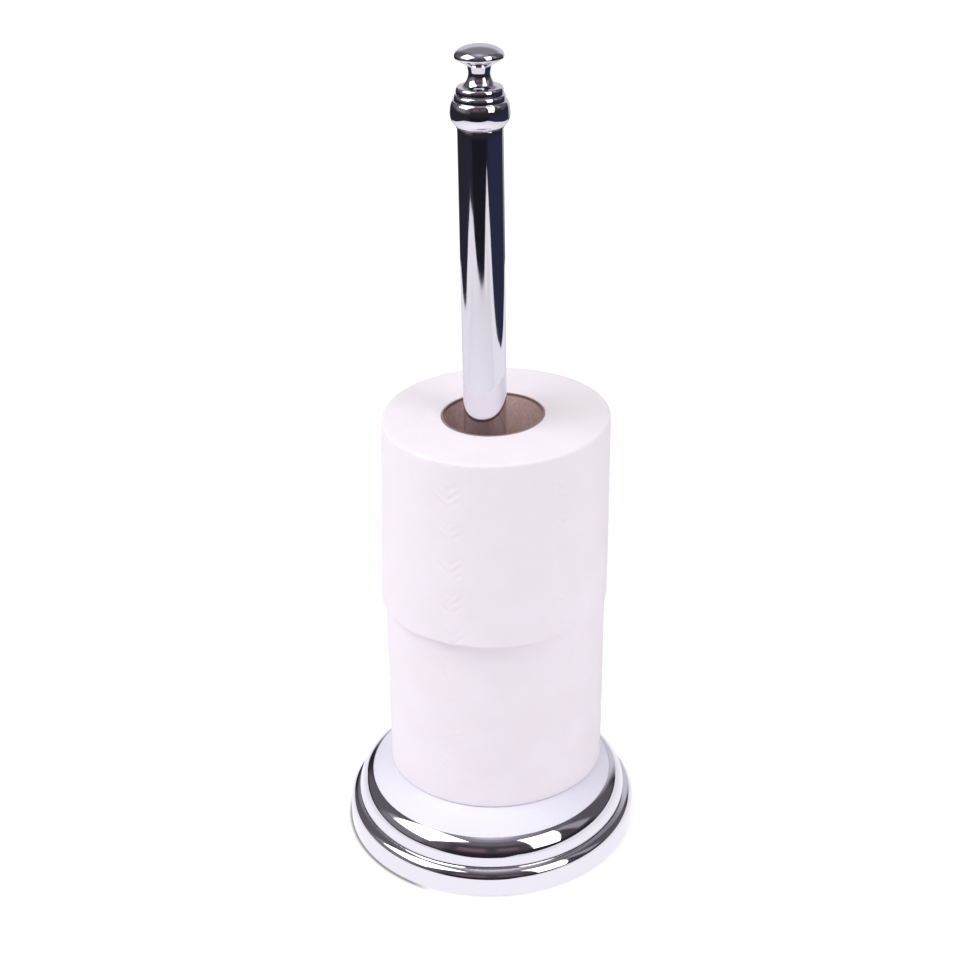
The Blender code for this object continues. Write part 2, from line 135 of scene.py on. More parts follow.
# Heights of the stack
RIM_TOP = RIM_LIFT + RIM_WALL_HEIGHT
UPPER_WALL_RADIUS = RIM_RADIUS - STEP_WIDTH
BEAD_END_RADIUS = RIM_RADIUS - LOWER_BEAD_RADIUS * (1 - np.sin(LEDGE_SLOPE))
LEDGE_RISE = (BEAD_END_RADIUS - UPPER_WALL_RADIUS) * np.tan(LEDGE_SLOPE)
LEDGE_HEIGHT = RIM_TOP + LOWER_BEAD_RADIUS * np.cos(LEDGE_SLOPE) + LEDGE_RISE
UPPER_BEAD_HEIGHT = LEDGE_HEIGHT + UPPER_WALL_HEIGHT
SHOULDER_FOOT_RADIUS = UPPER_WALL_RADIUS - UPPER_BEAD_RADIUS * (1 - np.sin(SHOULDER_FOOT_SLOPE))
SHOULDER_FOOT_HEIGHT = UPPER_BEAD_HEIGHT + UPPER_BEAD_RADIUS * np.cos(SHOULDER_FOOT_SLOPE)
SHOULDER_CURVE = (SHOULDER_FOOT_RADIUS - SEAT_RADIUS) / (
    np.sin(SHOULDER_FOOT_SLOPE) - np.sin(SHOULDER_TOP_SLOPE)
)
SHOULDER_CENTRE = (
    SHOULDER_FOOT_RADIUS - SHOULDER_CURVE * np.sin(SHOULDER_FOOT_SLOPE),
    SHOULDER_FOOT_HEIGHT - SHOULDER_CURVE * np.cos(SHOULDER_FOOT_SLOPE),
)
SEAT_HEIGHT = SHOULDER_FOOT_HEIGHT + SHOULDER_CURVE * (
    np.cos(SHOULDER_TOP_SLOPE) - np.cos(SHOULDER_FOOT_SLOPE)
)
PLATE_DROP = PLATE_THICKNESS + FIT_GAP
SCREW_HOLE_RADIUS = SCREW_RADIUS + FIT_GAP
WASHER_TOP = SEAT_HEIGHT - PLATE_DROP - COVER_WALL - WEIGHT_BOSS_WEB - 2 * FIT_GAP
SCREW_HEAD_TOP = WASHER_TOP - WASHER_THICKNESS - LOCK_WASHER_THICKNESS - 2 * FIT_GAP
PLUG_RADIUS = TUBE_RADIUS - TUBE_WALL - FIT_GAP
STUD_HOLE_RADIUS = STUD_RADIUS + FIT_GAP
TUBE_FOOT = SEAT_HEIGHT + FIT_GAP
TUBE_TOP = TUBE_FOOT + TUBE_LENGTH
COLLAR_FOOT = TUBE_TOP + FIT_GAP


# Colours and nodes


def linear_from_hex(hex_colour):
    """sRGB hex to linear RGB, by the sRGB curve: a straight foot and a power of 2.4 above it."""
    srgb = np.array([int(hex_colour[start:start + 2], 16) for start in (0, 2, 4)]) / 255
    return np.where(srgb <= 0.04045, srgb / 12.92, ((srgb + 0.055) / 1.055) ** 2.4)


def colour(hex_colour):
    """A socket's RGBA value from an sRGB hex colour."""
    return (*linear_from_hex(hex_colour), 1.0)


def add_node(tree, kind, inputs=None, **settings):
    """Add one node. Settings are its properties, and inputs are values or links by socket."""
    node = tree.nodes.new("ShaderNode" + kind)
    for name, value in settings.items():
        setattr(node, name, value)
    for socket, value in (inputs or {}).items():
        if isinstance(value, bpy.types.NodeSocket):
            tree.links.new(value, node.inputs[socket])
        else:
            node.inputs[socket].default_value = value
    return node


def new_tree(name):
    """A material with an empty node tree."""
    material = bpy.data.materials.new(name)
    material.use_nodes = True
    material.node_tree.nodes.clear()
    return material, material.node_tree


def finished(material, shader):
    """The material, with its last shader joined to the output."""
    add_node(material.node_tree, "OutputMaterial", {"Surface": shader.outputs[0]})
    return material


def maths(tree, operation, *values):
    """The result of one operation on links or numbers."""
    return add_node(tree, "Math", dict(enumerate(values)), operation=operation).outputs[0]


def remapped(tree, value, source, target, **settings):
    """A value carried from one range to another, and held at its ends."""
    node = add_node(tree, "MapRange", {
        "Value": value,
        "From Min": source[0],
        "From Max": source[1],
        "To Min": target[0],
        "To Max": target[1],
    }, **settings)
    return node.outputs["Result"]


def ramp(tree, factor, *stops):
    """Colours by position along a factor from 0 to 1."""
    node = add_node(tree, "ValToRGB", {"Fac": factor})
    elements = node.color_ramp.elements
    elements[0].position = stops[0][0]
    elements[0].color = colour(stops[0][1])
    elements[1].position = stops[-1][0]
    elements[1].color = colour(stops[-1][1])
    for position, hex_colour in stops[1:-1]:
        elements.new(position).color = colour(hex_colour)
    return node.outputs["Color"]


def object_place(tree):
    """Where a point lies on its object, in metres."""
    return add_node(tree, "TexCoord").outputs["Object"]


def noise(tree, place, feature_mm, detail=2.0, roughness=0.5):
    """Noise whose blotches are about feature_mm across, on a place in metres."""
    inputs = {"Vector": place, "Scale": 1000 / feature_mm, "Detail": detail, "Roughness": roughness}
    return add_node(tree, "TexNoise", inputs).outputs["Fac"]


def banding(tree, value, scale, detail):
    """Noise along one value alone, which makes bands."""
    inputs = {"W": value, "Scale": scale, "Detail": detail}
    return add_node(tree, "TexNoise", inputs, noise_dimensions="1D").outputs["Fac"]


def bumped(tree, height, distance_mm):
    """A normal that a height of 0 to 1 turns as if it rose by a distance."""
    inputs = {"Height": height, "Distance": distance_mm * MM, "Strength": 1.0}
    return add_node(tree, "Bump", inputs).outputs["Normal"]


# Shapes


def eased(share):
    """A share from 0 to 1 that starts and ends gently: three squares less two cubes."""
    return share * share * (3 - 2 * share)


def arc(centre, half_width, half_height, start, end, points):
    """Points on an ellipse: the centre plus the half axes times the angle's cosine and sine."""
    angle = np.radians(np.linspace(start, end, points))
    across = centre[0] + half_width * np.cos(angle)
    return np.column_stack((across, centre[1] + half_height * np.sin(angle)))


def resampled(path, step):
    """Points a fixed step apart along a path, by its running length."""
    length = np.append(0, np.cumsum(np.linalg.norm(np.diff(path, axis=0), axis=1)))
    places = np.linspace(0, length[-1], int(np.ceil(length[-1] / step)) + 1)
    return np.column_stack([np.interp(places, length, path[:, axis]) for axis in (0, 1)])


def softened(path, softness, step=0.05):
    """Round every crease by averaging the path over a short length, its ends kept."""
    fine = resampled(path, step)
    reach = int(round(softness / step))
    padded = np.concatenate((
        2 * fine[0] - fine[reach:0:-1], fine, 2 * fine[-1] - fine[-2:-reach - 2:-1]
    ))
    weights = np.hanning(2 * reach + 3)[1:-1]
    weights /= weights.sum()
    return np.column_stack([np.convolve(padded[:, axis], weights, "valid") for axis in (0, 1)])


def thinned(path, turn, step):
    """Keep a point for each turn (degrees) of a fine path's direction, or each step of it."""
    edges = np.diff(path, axis=0)
    length = np.linalg.norm(edges, axis=1)
    heading = np.unwrap(np.arctan2(edges[:, 1], edges[:, 0]))
    bending = np.abs(np.diff(heading, prepend=heading[0])) / np.radians(turn)
    measure = np.append(0, np.cumsum(length / step + bending))
    places = np.linspace(0, measure[-1], int(np.ceil(measure[-1])) + 1)
    return np.column_stack([np.interp(places, measure, path[:, axis]) for axis in (0, 1)])


def soft_noise(across, up, cells, seed):
    """Smooth blotches from -1 to 1: random values on a grid, blended by an eased share.

    `across` and `up` run from 0 to 1, and the pattern repeats across but not up.
    """
    columns, rows = cells
    values = np.random.default_rng(seed).uniform(-1, 1, (rows + 2, columns))
    column, row = across * columns, np.clip(up, 0, 1) * rows
    left, below = np.floor(column).astype(int), np.floor(row).astype(int)
    x, y = eased(column - left), eased(row - below)
    left, right = left % columns, (left + 1) % columns
    low = values[below, left] * (1 - x) + values[below, right] * x
    high = values[below + 1, left] * (1 - x) + values[below + 1, right] * x
    return low * (1 - y) + high * y


def skinned(name, points, closed, lay=None):
    """A mesh object from rings of points, (rings, points, 3) in mm, joined by quads.

    Each ring closes on itself, and `closed` joins the last ring to the first. Points that
    coincide become one, which closes seams and poles. `lay` is a vector for each point
    that materials read: the way round, the height and the distance out, in mm.
    """
    rings, count = points.shape[:2]
    index = np.arange(rings * count).reshape(rings, count)
    lower = index if closed else index[:-1]
    upper = np.roll(index, -1, axis=0) if closed else index[1:]
    corners = (lower, np.roll(lower, -1, axis=1), np.roll(upper, -1, axis=1), upper)
    quads = np.stack(corners, axis=-1).reshape(-1, 4)
    mesh = bpy.data.meshes.new(name)
    mesh.from_pydata((points.reshape(-1, 3) * MM).tolist(), [], quads.tolist())
    if lay is not None:
        attribute = mesh.attributes.new("lay", "FLOAT_VECTOR", "POINT")
        attribute.data.foreach_set("vector", lay.astype(np.float32).ravel())
    shape = bmesh.new()
    shape.from_mesh(mesh)
    bmesh.ops.remove_doubles(shape, verts=shape.verts, dist=MERGE_DISTANCE)
    shape.to_mesh(mesh)
    shape.free()
    mesh.shade_smooth()
    piece = bpy.data.objects.new(name, mesh)
    bpy.context.collection.objects.link(piece)
    return piece


def turned(name, outline, columns, closed):
    """Turn an outline of (radius, height) about the post: x and y are the radius times the
    angle's cosine and sine. A closed outline makes a ring, and an open one a solid."""
    angle = np.linspace(0, TURN, columns, endpoint=False)
    radius, height = outline[:, 0, None], outline[:, 1, None]
    points = (radius * np.cos(angle), radius * np.sin(angle), height + 0 * angle)
    return skinned(name, np.stack(points, axis=-1), closed)


def turned_ring(name, section, softness, columns):
    """A ring from the corners of its section, its edges rounded all the way round."""
    section = np.array(section)
    middle = (section[0] + section[-1]) / 2
    section = np.concatenate(([middle], section, [middle]))
    outline = thinned(softened(section, softness), turn=12, step=3)[:-1]
    return turned(name, outline, columns, closed=True)


def placed(piece, material, body, node):
    """Give a piece its material, say what it rides on, and hide the CAD node it stands for."""
    piece.data.materials.append(material)
    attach(piece, body)
    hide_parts(node)


def kept(node, material):
    """Give a CAD node that stays as it is its material."""
    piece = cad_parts[node]
    piece.data.materials.clear()
    piece.data.materials.append(material)


# Materials


def chrome_plate(name, ripple_mm, ripple_height):
    """Bright chromium over nickel on polished steel.

    The plate is a neutral mirror with a cold cast. Polishing leaves a faint ripple, and
    handling leaves patches that are a little less clear.
    """
    material, tree = new_tree(name)
    place = object_place(tree)
    haze = noise(tree, place, 18, detail=4)
    ripple = noise(tree, place, ripple_mm, detail=0)
    shader = add_node(tree, "BsdfPrincipled", {
        "Base Color": colour("E6E4EC"),
        "Metallic": 1.0,
        "Roughness": remapped(tree, haze, (0.4, 0.75), (0.035, 0.075)),
        "Normal": bumped(tree, ripple, ripple_height),
    })
    return finished(material, shader)


def white_moulding(name):
    """Glossy white moulded plastic with a faint violet cast.

    Its skin keeps a slight orange peel from the mould, and cores put down on it have left
    hair-fine rings, which dull the gloss a little.
    """
    material, tree = new_tree(name)
    place = object_place(tree)
    flat = add_node(tree, "VectorMath", {0: place, 1: (1.0, 1.0, 0.0)}, operation="MULTIPLY")
    radius = add_node(tree, "VectorMath", {0: flat.outputs["Vector"]}, operation="LENGTH")
    rings = banding(tree, radius.outputs["Value"], 1000 / 0.5, 1.0)
    peel = noise(tree, place, 3.5, detail=1)
    shader = add_node(tree, "BsdfPrincipled", {
        "Base Color": ramp(tree, noise(tree, place, 30), (0.3, "E9E7F5"), (0.7, "EDEBF8")),
        "Roughness": remapped(tree, rings, (0.55, 0.8), (0.2, 0.34)),
        "Specular IOR Level": 0.5,
        "Normal": bumped(tree, peel, 0.01),
    })
    return finished(material, shader)


def zinc_plate(name):
    """Zinc-plated steel: a pale satin metal, clouded by the bright-dip with bluish patches."""
    material, tree = new_tree(name)
    place = object_place(tree)
    cloud = noise(tree, place, 4, detail=3)
    grain = noise(tree, place, 0.4, detail=2)
    shader = add_node(tree, "BsdfPrincipled", {
        "Base Color": ramp(tree, cloud, (0.35, "A3A8B2"), (0.65, "BCBDBE")),
        "Metallic": 1.0,
        "Roughness": remapped(tree, cloud, (0.0, 1.0), (0.28, 0.42)),
        "Normal": bumped(tree, grain, 0.015),
    })
    return finished(material, shader)


def sand_casting(name):
    """A grey iron sand casting: dark and dull, with the mould's grains printed in its skin."""
    material, tree = new_tree(name)
    place = object_place(tree)
    grains = noise(tree, place, 0.9, detail=4, roughness=0.65)
    cloud = noise(tree, place, 9, detail=3)
    shader = add_node(tree, "BsdfPrincipled", {
        "Base Color": ramp(tree, cloud, (0.35, "35363A"), (0.65, "47464A")),
        "Metallic": 0.6,
        "Roughness": 0.62,
        "Normal": bumped(tree, grains, 0.25),
    })
    return finished(material, shader)


def pad_foam(name):
    """Closed-cell foam sheet, dark grey and matt, with cells about 0.5 mm across; the pits
    of the cells are darker as painted shade.
    """
    material, tree = new_tree(name)
    cells = add_node(tree, "TexVoronoi", {"Vector": object_place(tree), "Scale": 1000 / 0.5})
    # Darker at the bottom of each cell, where it is lowest: painted shade in the pits
    depth = cells.outputs["Distance"]
    shader = add_node(tree, "BsdfPrincipled", {
        "Base Color": ramp(tree, depth, (0.1, "1F1F23"), (0.7, "303036")),
        "Roughness": 0.9,
        "Normal": bumped(tree, depth, 0.12),
    })
    return finished(material, shader)


def tissue_paper(name):
    """Two-ply creped tissue, bleached, with a faint pink cast.

    The sheet scatters light softly. Creping leaves fine ridges across the way it is wound,
    and the ends of the roll show the edges of its layers as rings. Both are drawn at about
    twice their real spacing so that they show.
    """
    material, tree = new_tree(name)
    lay = add_node(tree, "Attribute", attribute_name="lay").outputs["Vector"]
    ridges_per_mm = (1.6, 0.12, 0.0)
    stretched = add_node(tree, "VectorMath", {0: lay, 1: ridges_per_mm}, operation="MULTIPLY")
    crepe = add_node(tree, "TexNoise", {
        "Vector": stretched.outputs["Vector"],
        "Scale": 1.0,
        "Detail": 2.0,
    }).outputs["Fac"]
    out = add_node(tree, "SeparateXYZ", {"Vector": lay}).outputs["Z"]
    rings = banding(tree, out, 1.4, 3.0)
    place = object_place(tree)
    fibre = noise(tree, place, 1.2, detail=3, roughness=0.6)
    relief = maths(tree, "ADD", maths(tree, "ADD", crepe, fibre), rings)
    cloud = noise(tree, place, 22, detail=2)
    shader = add_node(tree, "BsdfPrincipled", {
        "Base Color": ramp(tree, cloud, (0.3, "F5EDF4"), (0.7, "F7F0F8")),
        "Roughness": 0.95,
        "Specular IOR Level": 0.2,
        "Normal": bumped(tree, relief, 0.07),
    })
    return finished(material, shader)


def core_board(name):
    """Grey-brown recycled board, wound in a spiral from two plies about 41 mm wide.

    It is matt and fibrous. Each ply differs a little in tone, and a darker glue line
    follows the joint between them. The cut edge is greyer, and the band just below it is
    darkest: painted shade of the gap where the paper's bore stands above the core.
    """
    material, tree = new_tree(name)
    lay = add_node(tree, "Attribute", attribute_name="lay").outputs["Vector"]
    along = add_node(tree, "SeparateXYZ", {"Vector": lay}).outputs
    lap = maths(tree, "MULTIPLY", along["X"], 1 / (TURN * CORE_BORE_RADIUS))
    climb = maths(tree, "MULTIPLY_ADD", along["Y"], 1 / BOARD_CLIMB, lap)
    ply = ramp(
        tree, maths(tree, "FRACT", climb),
        (0.0, "A28682"), (0.03, "DABCB8"), (0.5, "E2C7C2"), (0.53, "D6B8B4"), (1.0, "DABCB8"),
    )
    fibre = noise(tree, object_place(tree), 1.6, detail=5, roughness=0.7)
    fleck = ramp(tree, fibre, (0.35, "B4938E"), (0.62, "EBD0CB"))
    board = add_node(tree, "Mix", {"Factor": 0.4, "A": ply, "B": fleck}, data_type="RGBA")
    # The top 1.6 mm is darkened as painted shade, darkest just below the cut edge where the paper's
    # bore stands above the core, and lighter again on the greyer cut face
    rim_depth = 1.6
    rim = remapped(tree, along["Y"], (ROLL_WIDTH - rim_depth, ROLL_WIDTH), (0.0, 1.0))
    edge = ramp(tree, rim, (0.0, "FFFFFF"), (0.5, "8F8886"), (0.85, "8F8886"), (1.0, "BDB4B2"))
    board_with_rim_shade = add_node(
        tree, "Mix", {"Factor": 1.0, "A": board.outputs["Result"], "B": edge},
        data_type="RGBA", blend_type="MULTIPLY",
    )
    shader = add_node(tree, "BsdfPrincipled", {
        "Base Color": board_with_rim_shade.outputs["Result"],
        "Roughness": 0.85,
        "Normal": bumped(tree, fibre, 0.06),
    })
    return finished(material, shader)


# Pieces


def shoulder_skin(edge_radius, drop, inset):
    """The shoulder, an arc of a large circle from its edge up to the seat, and the seat."""
    centre = SHOULDER_CENTRE
    radius = SHOULDER_CURVE - inset
    seat = SEAT_HEIGHT - inset
    start = np.degrees(np.arccos((edge_radius - centre[0]) / radius))
    end = np.degrees(np.arcsin((seat - centre[1]) / radius))
    slope = arc((centre[0], centre[1] - drop), radius, radius, start, end, 40)
    return np.concatenate((slope, [(SCREW_HOLE_RADIUS, seat - drop)]))


def cover_skin(inset):
    """One skin of the base cover from its rim up to the screw hole.

    A round bead ends in a short sloping ledge, a larger bead rises from its crease, and a
    lowered shoulder takes the seat plate. The inner skin keeps the outer one's centres
    with smaller radii.
    """
    lower_centre = (RIM_RADIUS - LOWER_BEAD_RADIUS, RIM_TOP)
    upper_centre = (UPPER_WALL_RADIUS - UPPER_BEAD_RADIUS, UPPER_BEAD_HEIGHT)
    lower = LOWER_BEAD_RADIUS - inset
    upper = UPPER_BEAD_RADIUS - inset
    bead_end = 90 - np.degrees(LEDGE_SLOPE)
    crease = LEDGE_HEIGHT + inset * (np.tan(LEDGE_SLOPE) - 1 / np.cos(LEDGE_SLOPE))
    step = SHOULDER_FOOT_RADIUS + inset
    step_angle = np.degrees(np.arccos((step - upper_centre[0]) / upper))
    return np.concatenate((
        [(RIM_RADIUS - inset, RIM_LIFT)],
        arc(lower_centre, lower, lower, 0, bead_end, 60),
        [(UPPER_WALL_RADIUS - inset, crease)],
        arc(upper_centre, upper, upper, 0, step_angle, 60),
        shoulder_skin(step, PLATE_DROP, inset),
    ))


def build_cover(material):
    """The pressed cover, its creases rounded as a press leaves them."""
    outer = thinned(softened(cover_skin(0), softness=0.12, step=0.03), turn=2.4, step=1.4)
    inner = thinned(softened(cover_skin(COVER_WALL), softness=0.2), turn=6, step=3)
    outline = np.concatenate((outer, inner[::-1]))
    piece = turned("base_cover_shell", outline, COVER_COLUMNS, closed=True)
    placed(piece, material, "stand", "base_cover")


def build_base_parts(white, foam, zinc):
    """The seat plate, the pad under the base, and the washer and screw seen through its hole."""
    edge = SHOULDER_FOOT_RADIUS - PLATE_EDGE_GAP
    top = shoulder_skin(edge, 0, 0)
    bottom = shoulder_skin(edge, PLATE_THICKNESS, 0)
    section = np.concatenate((top, bottom[::-1]))
    plate = turned_ring("seat_plate_moulded", section, 0.15, COVER_COLUMNS)
    placed(plate, white, "stand", "seat_plate")

    inner, outer = PAD_HOLE_RADIUS, RIM_RADIUS - COVER_WALL - FIT_GAP
    section = [(inner, 0), (outer, 0), (outer, PAD_THICKNESS), (inner, PAD_THICKNESS)]
    pad = turned_ring("base_pad_foam", section, 0.3, PAD_COLUMNS)
    placed(pad, foam, "stand", "base_pad")

    inner, outer = SCREW_HOLE_RADIUS, WASHER_RADIUS
    low, high = WASHER_TOP - WASHER_THICKNESS, WASHER_TOP
    section = [(inner, low), (outer, low), (outer, high), (inner, high)]
    washer = turned_ring("clamp_washer_pressed", section, 0.2, TURNED_COLUMNS)
    placed(washer, zinc, "stand", "clamp_washer")
    placed(hex_screw("clamp_screw_hex"), zinc, "stand", "clamp_screw")


def hex_screw(name):
    """A hexagon head screw, from under its head up.

    The head's radius at an angle is half its flats over the cosine of the angle from the
    nearest flat, cut by a cone of 30 degrees at its lower corners.
    """
    angle = np.linspace(0, TURN, TURNED_COLUMNS, endpoint=False)
    centre = 0 * angle
    half = SCREW_HEAD_FLATS / 2
    hexagon = half / np.cos(angle % (TURN / 6) - TURN / 12)
    foot = SCREW_HEAD_TOP - SCREW_HEAD_HEIGHT
    end = SCREW_HEAD_TOP + SCREW_LENGTH
    head_break, end_break = 0.1, 1
    rings = [(centre, foot), (centre + half * 0.5, foot), (centre + half * 0.93, foot)]
    for rise in np.linspace(0.05, 0.8, 6):
        cone = half * 0.95 + rise / np.tan(np.radians(30))
        rings.append((np.minimum(hexagon, cone), foot + rise))
    rings += [
        (hexagon, SCREW_HEAD_TOP - head_break),
        (hexagon - head_break, SCREW_HEAD_TOP),
        (centre + SCREW_RADIUS, SCREW_HEAD_TOP),
        (centre + SCREW_RADIUS, end - end_break),
        (centre + SCREW_RADIUS - end_break, end),
        (centre, end),
    ]
    points = [
        np.stack((radius * np.cos(angle), radius * np.sin(angle), height + centre), axis=-1)
        for radius, height in rings
    ]
    return skinned(name, np.array(points), closed=False)


def build_tube(material):
    """The post, a plain tube with a slight break at the edges of its ends."""
    section = np.array([
        (TUBE_RADIUS, TUBE_FOOT),
        (TUBE_RADIUS, TUBE_TOP),
        (TUBE_RADIUS - TUBE_WALL, TUBE_TOP),
        (TUBE_RADIUS - TUBE_WALL, TUBE_FOOT),
        (TUBE_RADIUS, TUBE_FOOT),
    ])
    outline = thinned(softened(section, 0.15), turn=15, step=12)[:-1]
    piece = turned("post_tube_polished", outline, TURNED_COLUMNS, closed=True)
    placed(piece, material, "stand", "post_tube")


def build_finial(material):
    """The collar, with its skirt, bulb and ring, and the knob, with its neck and cap."""
    skirt = TUBE_RADIUS + SKIRT_OVERHANG
    skirt_top = COLLAR_FOOT + SKIRT_HEIGHT
    bulb = skirt + BULB_SWELL
    bulb_height = skirt_top + BULB_BELLY_HEIGHT
    belly_curve = (BULB_SWELL ** 2 + BULB_BELLY_HEIGHT ** 2) / (2 * BULB_SWELL)
    belly_centre = (bulb - belly_curve, bulb_height)
    belly_start = -np.degrees(np.arcsin(BULB_BELLY_HEIGHT / belly_curve))
    ring = bulb - BULB_SHOULDER_INSET
    ring_wall_top = bulb_height + BULB_SHOULDER_HEIGHT + RING_WALL_HEIGHT
    ring_centre = (ring - RING_ROUND_WIDTH, ring_wall_top)
    collar_top = ring_wall_top + RING_ROUND_HEIGHT
    spigot_foot = COLLAR_FOOT - SPIGOT_LENGTH
    collar = np.concatenate((
        [(STUD_HOLE_RADIUS, spigot_foot), (PLUG_RADIUS, spigot_foot)],
        [(PLUG_RADIUS, COLLAR_FOOT), (skirt, COLLAR_FOOT)],
        arc(belly_centre, belly_curve, belly_curve, belly_start, 0, 20),
        arc((ring, bulb_height), BULB_SHOULDER_INSET, BULB_SHOULDER_HEIGHT, 0, 90, 30)[1:],
        arc(ring_centre, RING_ROUND_WIDTH, RING_ROUND_HEIGHT, 0, 90, 16),
        [(STUD_HOLE_RADIUS, collar_top), (STUD_HOLE_RADIUS, spigot_foot)],
    ))
    outline = thinned(softened(collar, 0.12), turn=4, step=1.0)[:-1]
    piece = turned("finial_collar_turned", outline, TURNED_COLUMNS, closed=True)
    placed(piece, material, "stand", "finial_collar")

    knob_foot = collar_top + FIT_GAP
    flange_wall_top = knob_foot + FLANGE_WALL_HEIGHT
    flange_centre = (FLANGE_RADIUS - FLANGE_ROUND_WIDTH, flange_wall_top)
    neck_foot = flange_wall_top + FLANGE_ROUND_HEIGHT + CAVETTO_HEIGHT
    neck_centre = (NECK_RADIUS + CAVETTO_WIDTH, neck_foot)
    neck_top = neck_foot + NECK_HEIGHT
    cap_edge = neck_top + CAP_UNDERSIDE_HEIGHT
    edge_centre = (CAP_RADIUS - CAP_EDGE_ROUND, cap_edge)
    hole_top = knob_foot + STUD_BITE_ABOVE + FIT_GAP
    knob = np.concatenate((
        [(0, hole_top), (STUD_HOLE_RADIUS, hole_top), (STUD_HOLE_RADIUS, knob_foot)],
        [(FLANGE_RADIUS, knob_foot)],
        arc(flange_centre, FLANGE_ROUND_WIDTH, FLANGE_ROUND_HEIGHT, 0, 90, 16),
        arc(neck_centre, CAVETTO_WIDTH, CAVETTO_HEIGHT, -90, -180, 30),
        [(NECK_TOP_RADIUS, neck_top)],
        arc(edge_centre, CAP_EDGE_ROUND, CAP_EDGE_ROUND, -60, 0, 12),
        arc((0, cap_edge), CAP_RADIUS, CAP_CROWN_HEIGHT, 0, 90, 50)[1:],
    ))
    outline = thinned(softened(knob, 0.12), turn=4, step=1.0)
    outline[[0, -1], 0] = 0
    piece = turned("finial_knob_turned", outline, TURNED_COLUMNS, closed=False)
    placed(piece, material, "stand", "finial_knob")


class Roll:
    """One roll's place and size, the depth of its embossing, and how it is out of true."""

    def __init__(self, body, paper_radius, tail, seed, mark_depth, left, right):
        low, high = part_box(body + "_core")
        self.body = body
        self.centre = np.array([(low.x + high.x) / 2, (low.y + high.y) / 2]) / MM
        self.foot = low.z / MM
        self.paper_radius = paper_radius
        self.tail = np.radians(tail)
        self.seed = seed
        self.mark_depth = mark_depth
        self.left = left
        self.right = right
        self.oval = 0.6
        self.oval_angle = np.radians(45)

    def stand_up(self, radius, angle, height):
        """Points on the roll, which is soft and out of true.

        Its radius grows by an oval's twofold cosine. At its left and right the paper swells
        or gives way in proportion to its distance from the core: by the squared cosine of
        the angle from that side, and changing evenly from the foot's amount to the top's.
        """
        radius = radius + self.oval * np.cos(2 * (angle - self.oval_angle))
        depth = self.paper_radius - CORE_BORE_RADIUS
        share = np.clip((radius - CORE_BORE_RADIUS - 1) / depth, 0, 1)
        for (foot, top), facing in ((self.left, -np.cos(angle)), (self.right, np.cos(angle))):
            swell = foot + (top - foot) * height / ROLL_WIDTH
            radius = radius + swell * np.clip(facing, 0, 1) ** 2 * share
        x = self.centre[0] + radius * np.cos(angle)
        y = self.centre[1] + radius * np.sin(angle)
        return np.stack((x, y, self.foot + height), axis=-1)


def paper_section(bore, radius, rows):
    """The section of the wound paper, up its side and down its bore.

    Returns (radius, height) points and, for each, how much of the side's relief it takes,
    which fades over the soft outer edges.
    """
    top_edge, foot_edge, lip = 1.5, 0.7, 0.4

    def end(edge):
        """The upper end, with its outer edge rounded by some amount."""
        corner = arc((radius - edge, ROLL_WIDTH - edge), edge, edge, 0, 90, 7)[1:]
        face = np.linspace((radius - edge, ROLL_WIDTH), (bore + lip, ROLL_WIDTH), 15)[1:]
        bore_lip = arc((bore + lip, ROLL_WIDTH - lip), lip, lip, 90, 180, 4)[1:]
        return np.concatenate((corner, face, bore_lip))

    upper = end(top_edge)
    lower = end(foot_edge)[::-1] * (1, -1) + (0, ROLL_WIDTH)
    side = np.linspace((radius, foot_edge), (radius, ROLL_WIDTH - top_edge), rows)
    wall = np.linspace((bore, ROLL_WIDTH - lip), (bore, lip), 7)[1:-1]
    section = np.concatenate((side, upper, wall, lower))
    fade = np.clip((section[:, 0] - (radius - top_edge)) / top_edge, 0, 1)
    return section, fade


def sagging(points):
    """How far the foot of a soft roll sinks where it overhangs the sloping shoulder, in mm.

    It follows the plate's fall outside the seat, the arc of the shoulder, for nine tenths
    of the way, and the layers above follow it less and less, by a squared share.
    """
    follow, reach = 0.9, 20
    out = np.hypot(points[..., 0], points[..., 1])
    slope = np.sqrt(SHOULDER_CURVE ** 2 - (out - SHOULDER_CENTRE[0]) ** 2)
    fall = SEAT_HEIGHT - SHOULDER_CENTRE[1] - slope
    share = np.clip(1 - (points[..., 2] - SEAT_HEIGHT) / reach, 0, 1) ** 2
    return follow * np.where(out > SEAT_RADIUS, fall, 0) * share


def embossing(around, height, pitch):
    """Columns of leaf sprays pressed into the sheet, from 0 to 1.

    In a spray, slanted ridges repeat along the height, mirrored about the column's stem:
    each is a bell curve of the distance to its slanted line, and it fades out at the stem,
    at the leaf's tip and beyond the spray's ends.
    """
    leaf_length, leaf_pitch, leaf_width, slant = 7.0, 4.2, 0.8, 0.8
    spray_pitch, spray_reach, spray_start = 18.5, 6.0, 5.0
    stem_fade, tip_fade, spray_fade = 1.0, 2.5, 1.5
    across = (around + pitch / 2) % pitch - pitch / 2
    reach = np.abs(across)
    line = (height - slant * reach + leaf_pitch / 2) % leaf_pitch - leaf_pitch / 2
    leaf = np.exp(-(line / leaf_width) ** 2)
    along = np.abs((height + spray_start) % spray_pitch - spray_pitch / 2)
    stem = np.clip(reach / stem_fade, 0, 1)
    tip = np.clip((leaf_length - reach) / tip_fade, 0, 1)
    spray = np.clip((spray_reach - along) / spray_fade, 0, 1)
    return leaf * (tip * spray) * stem


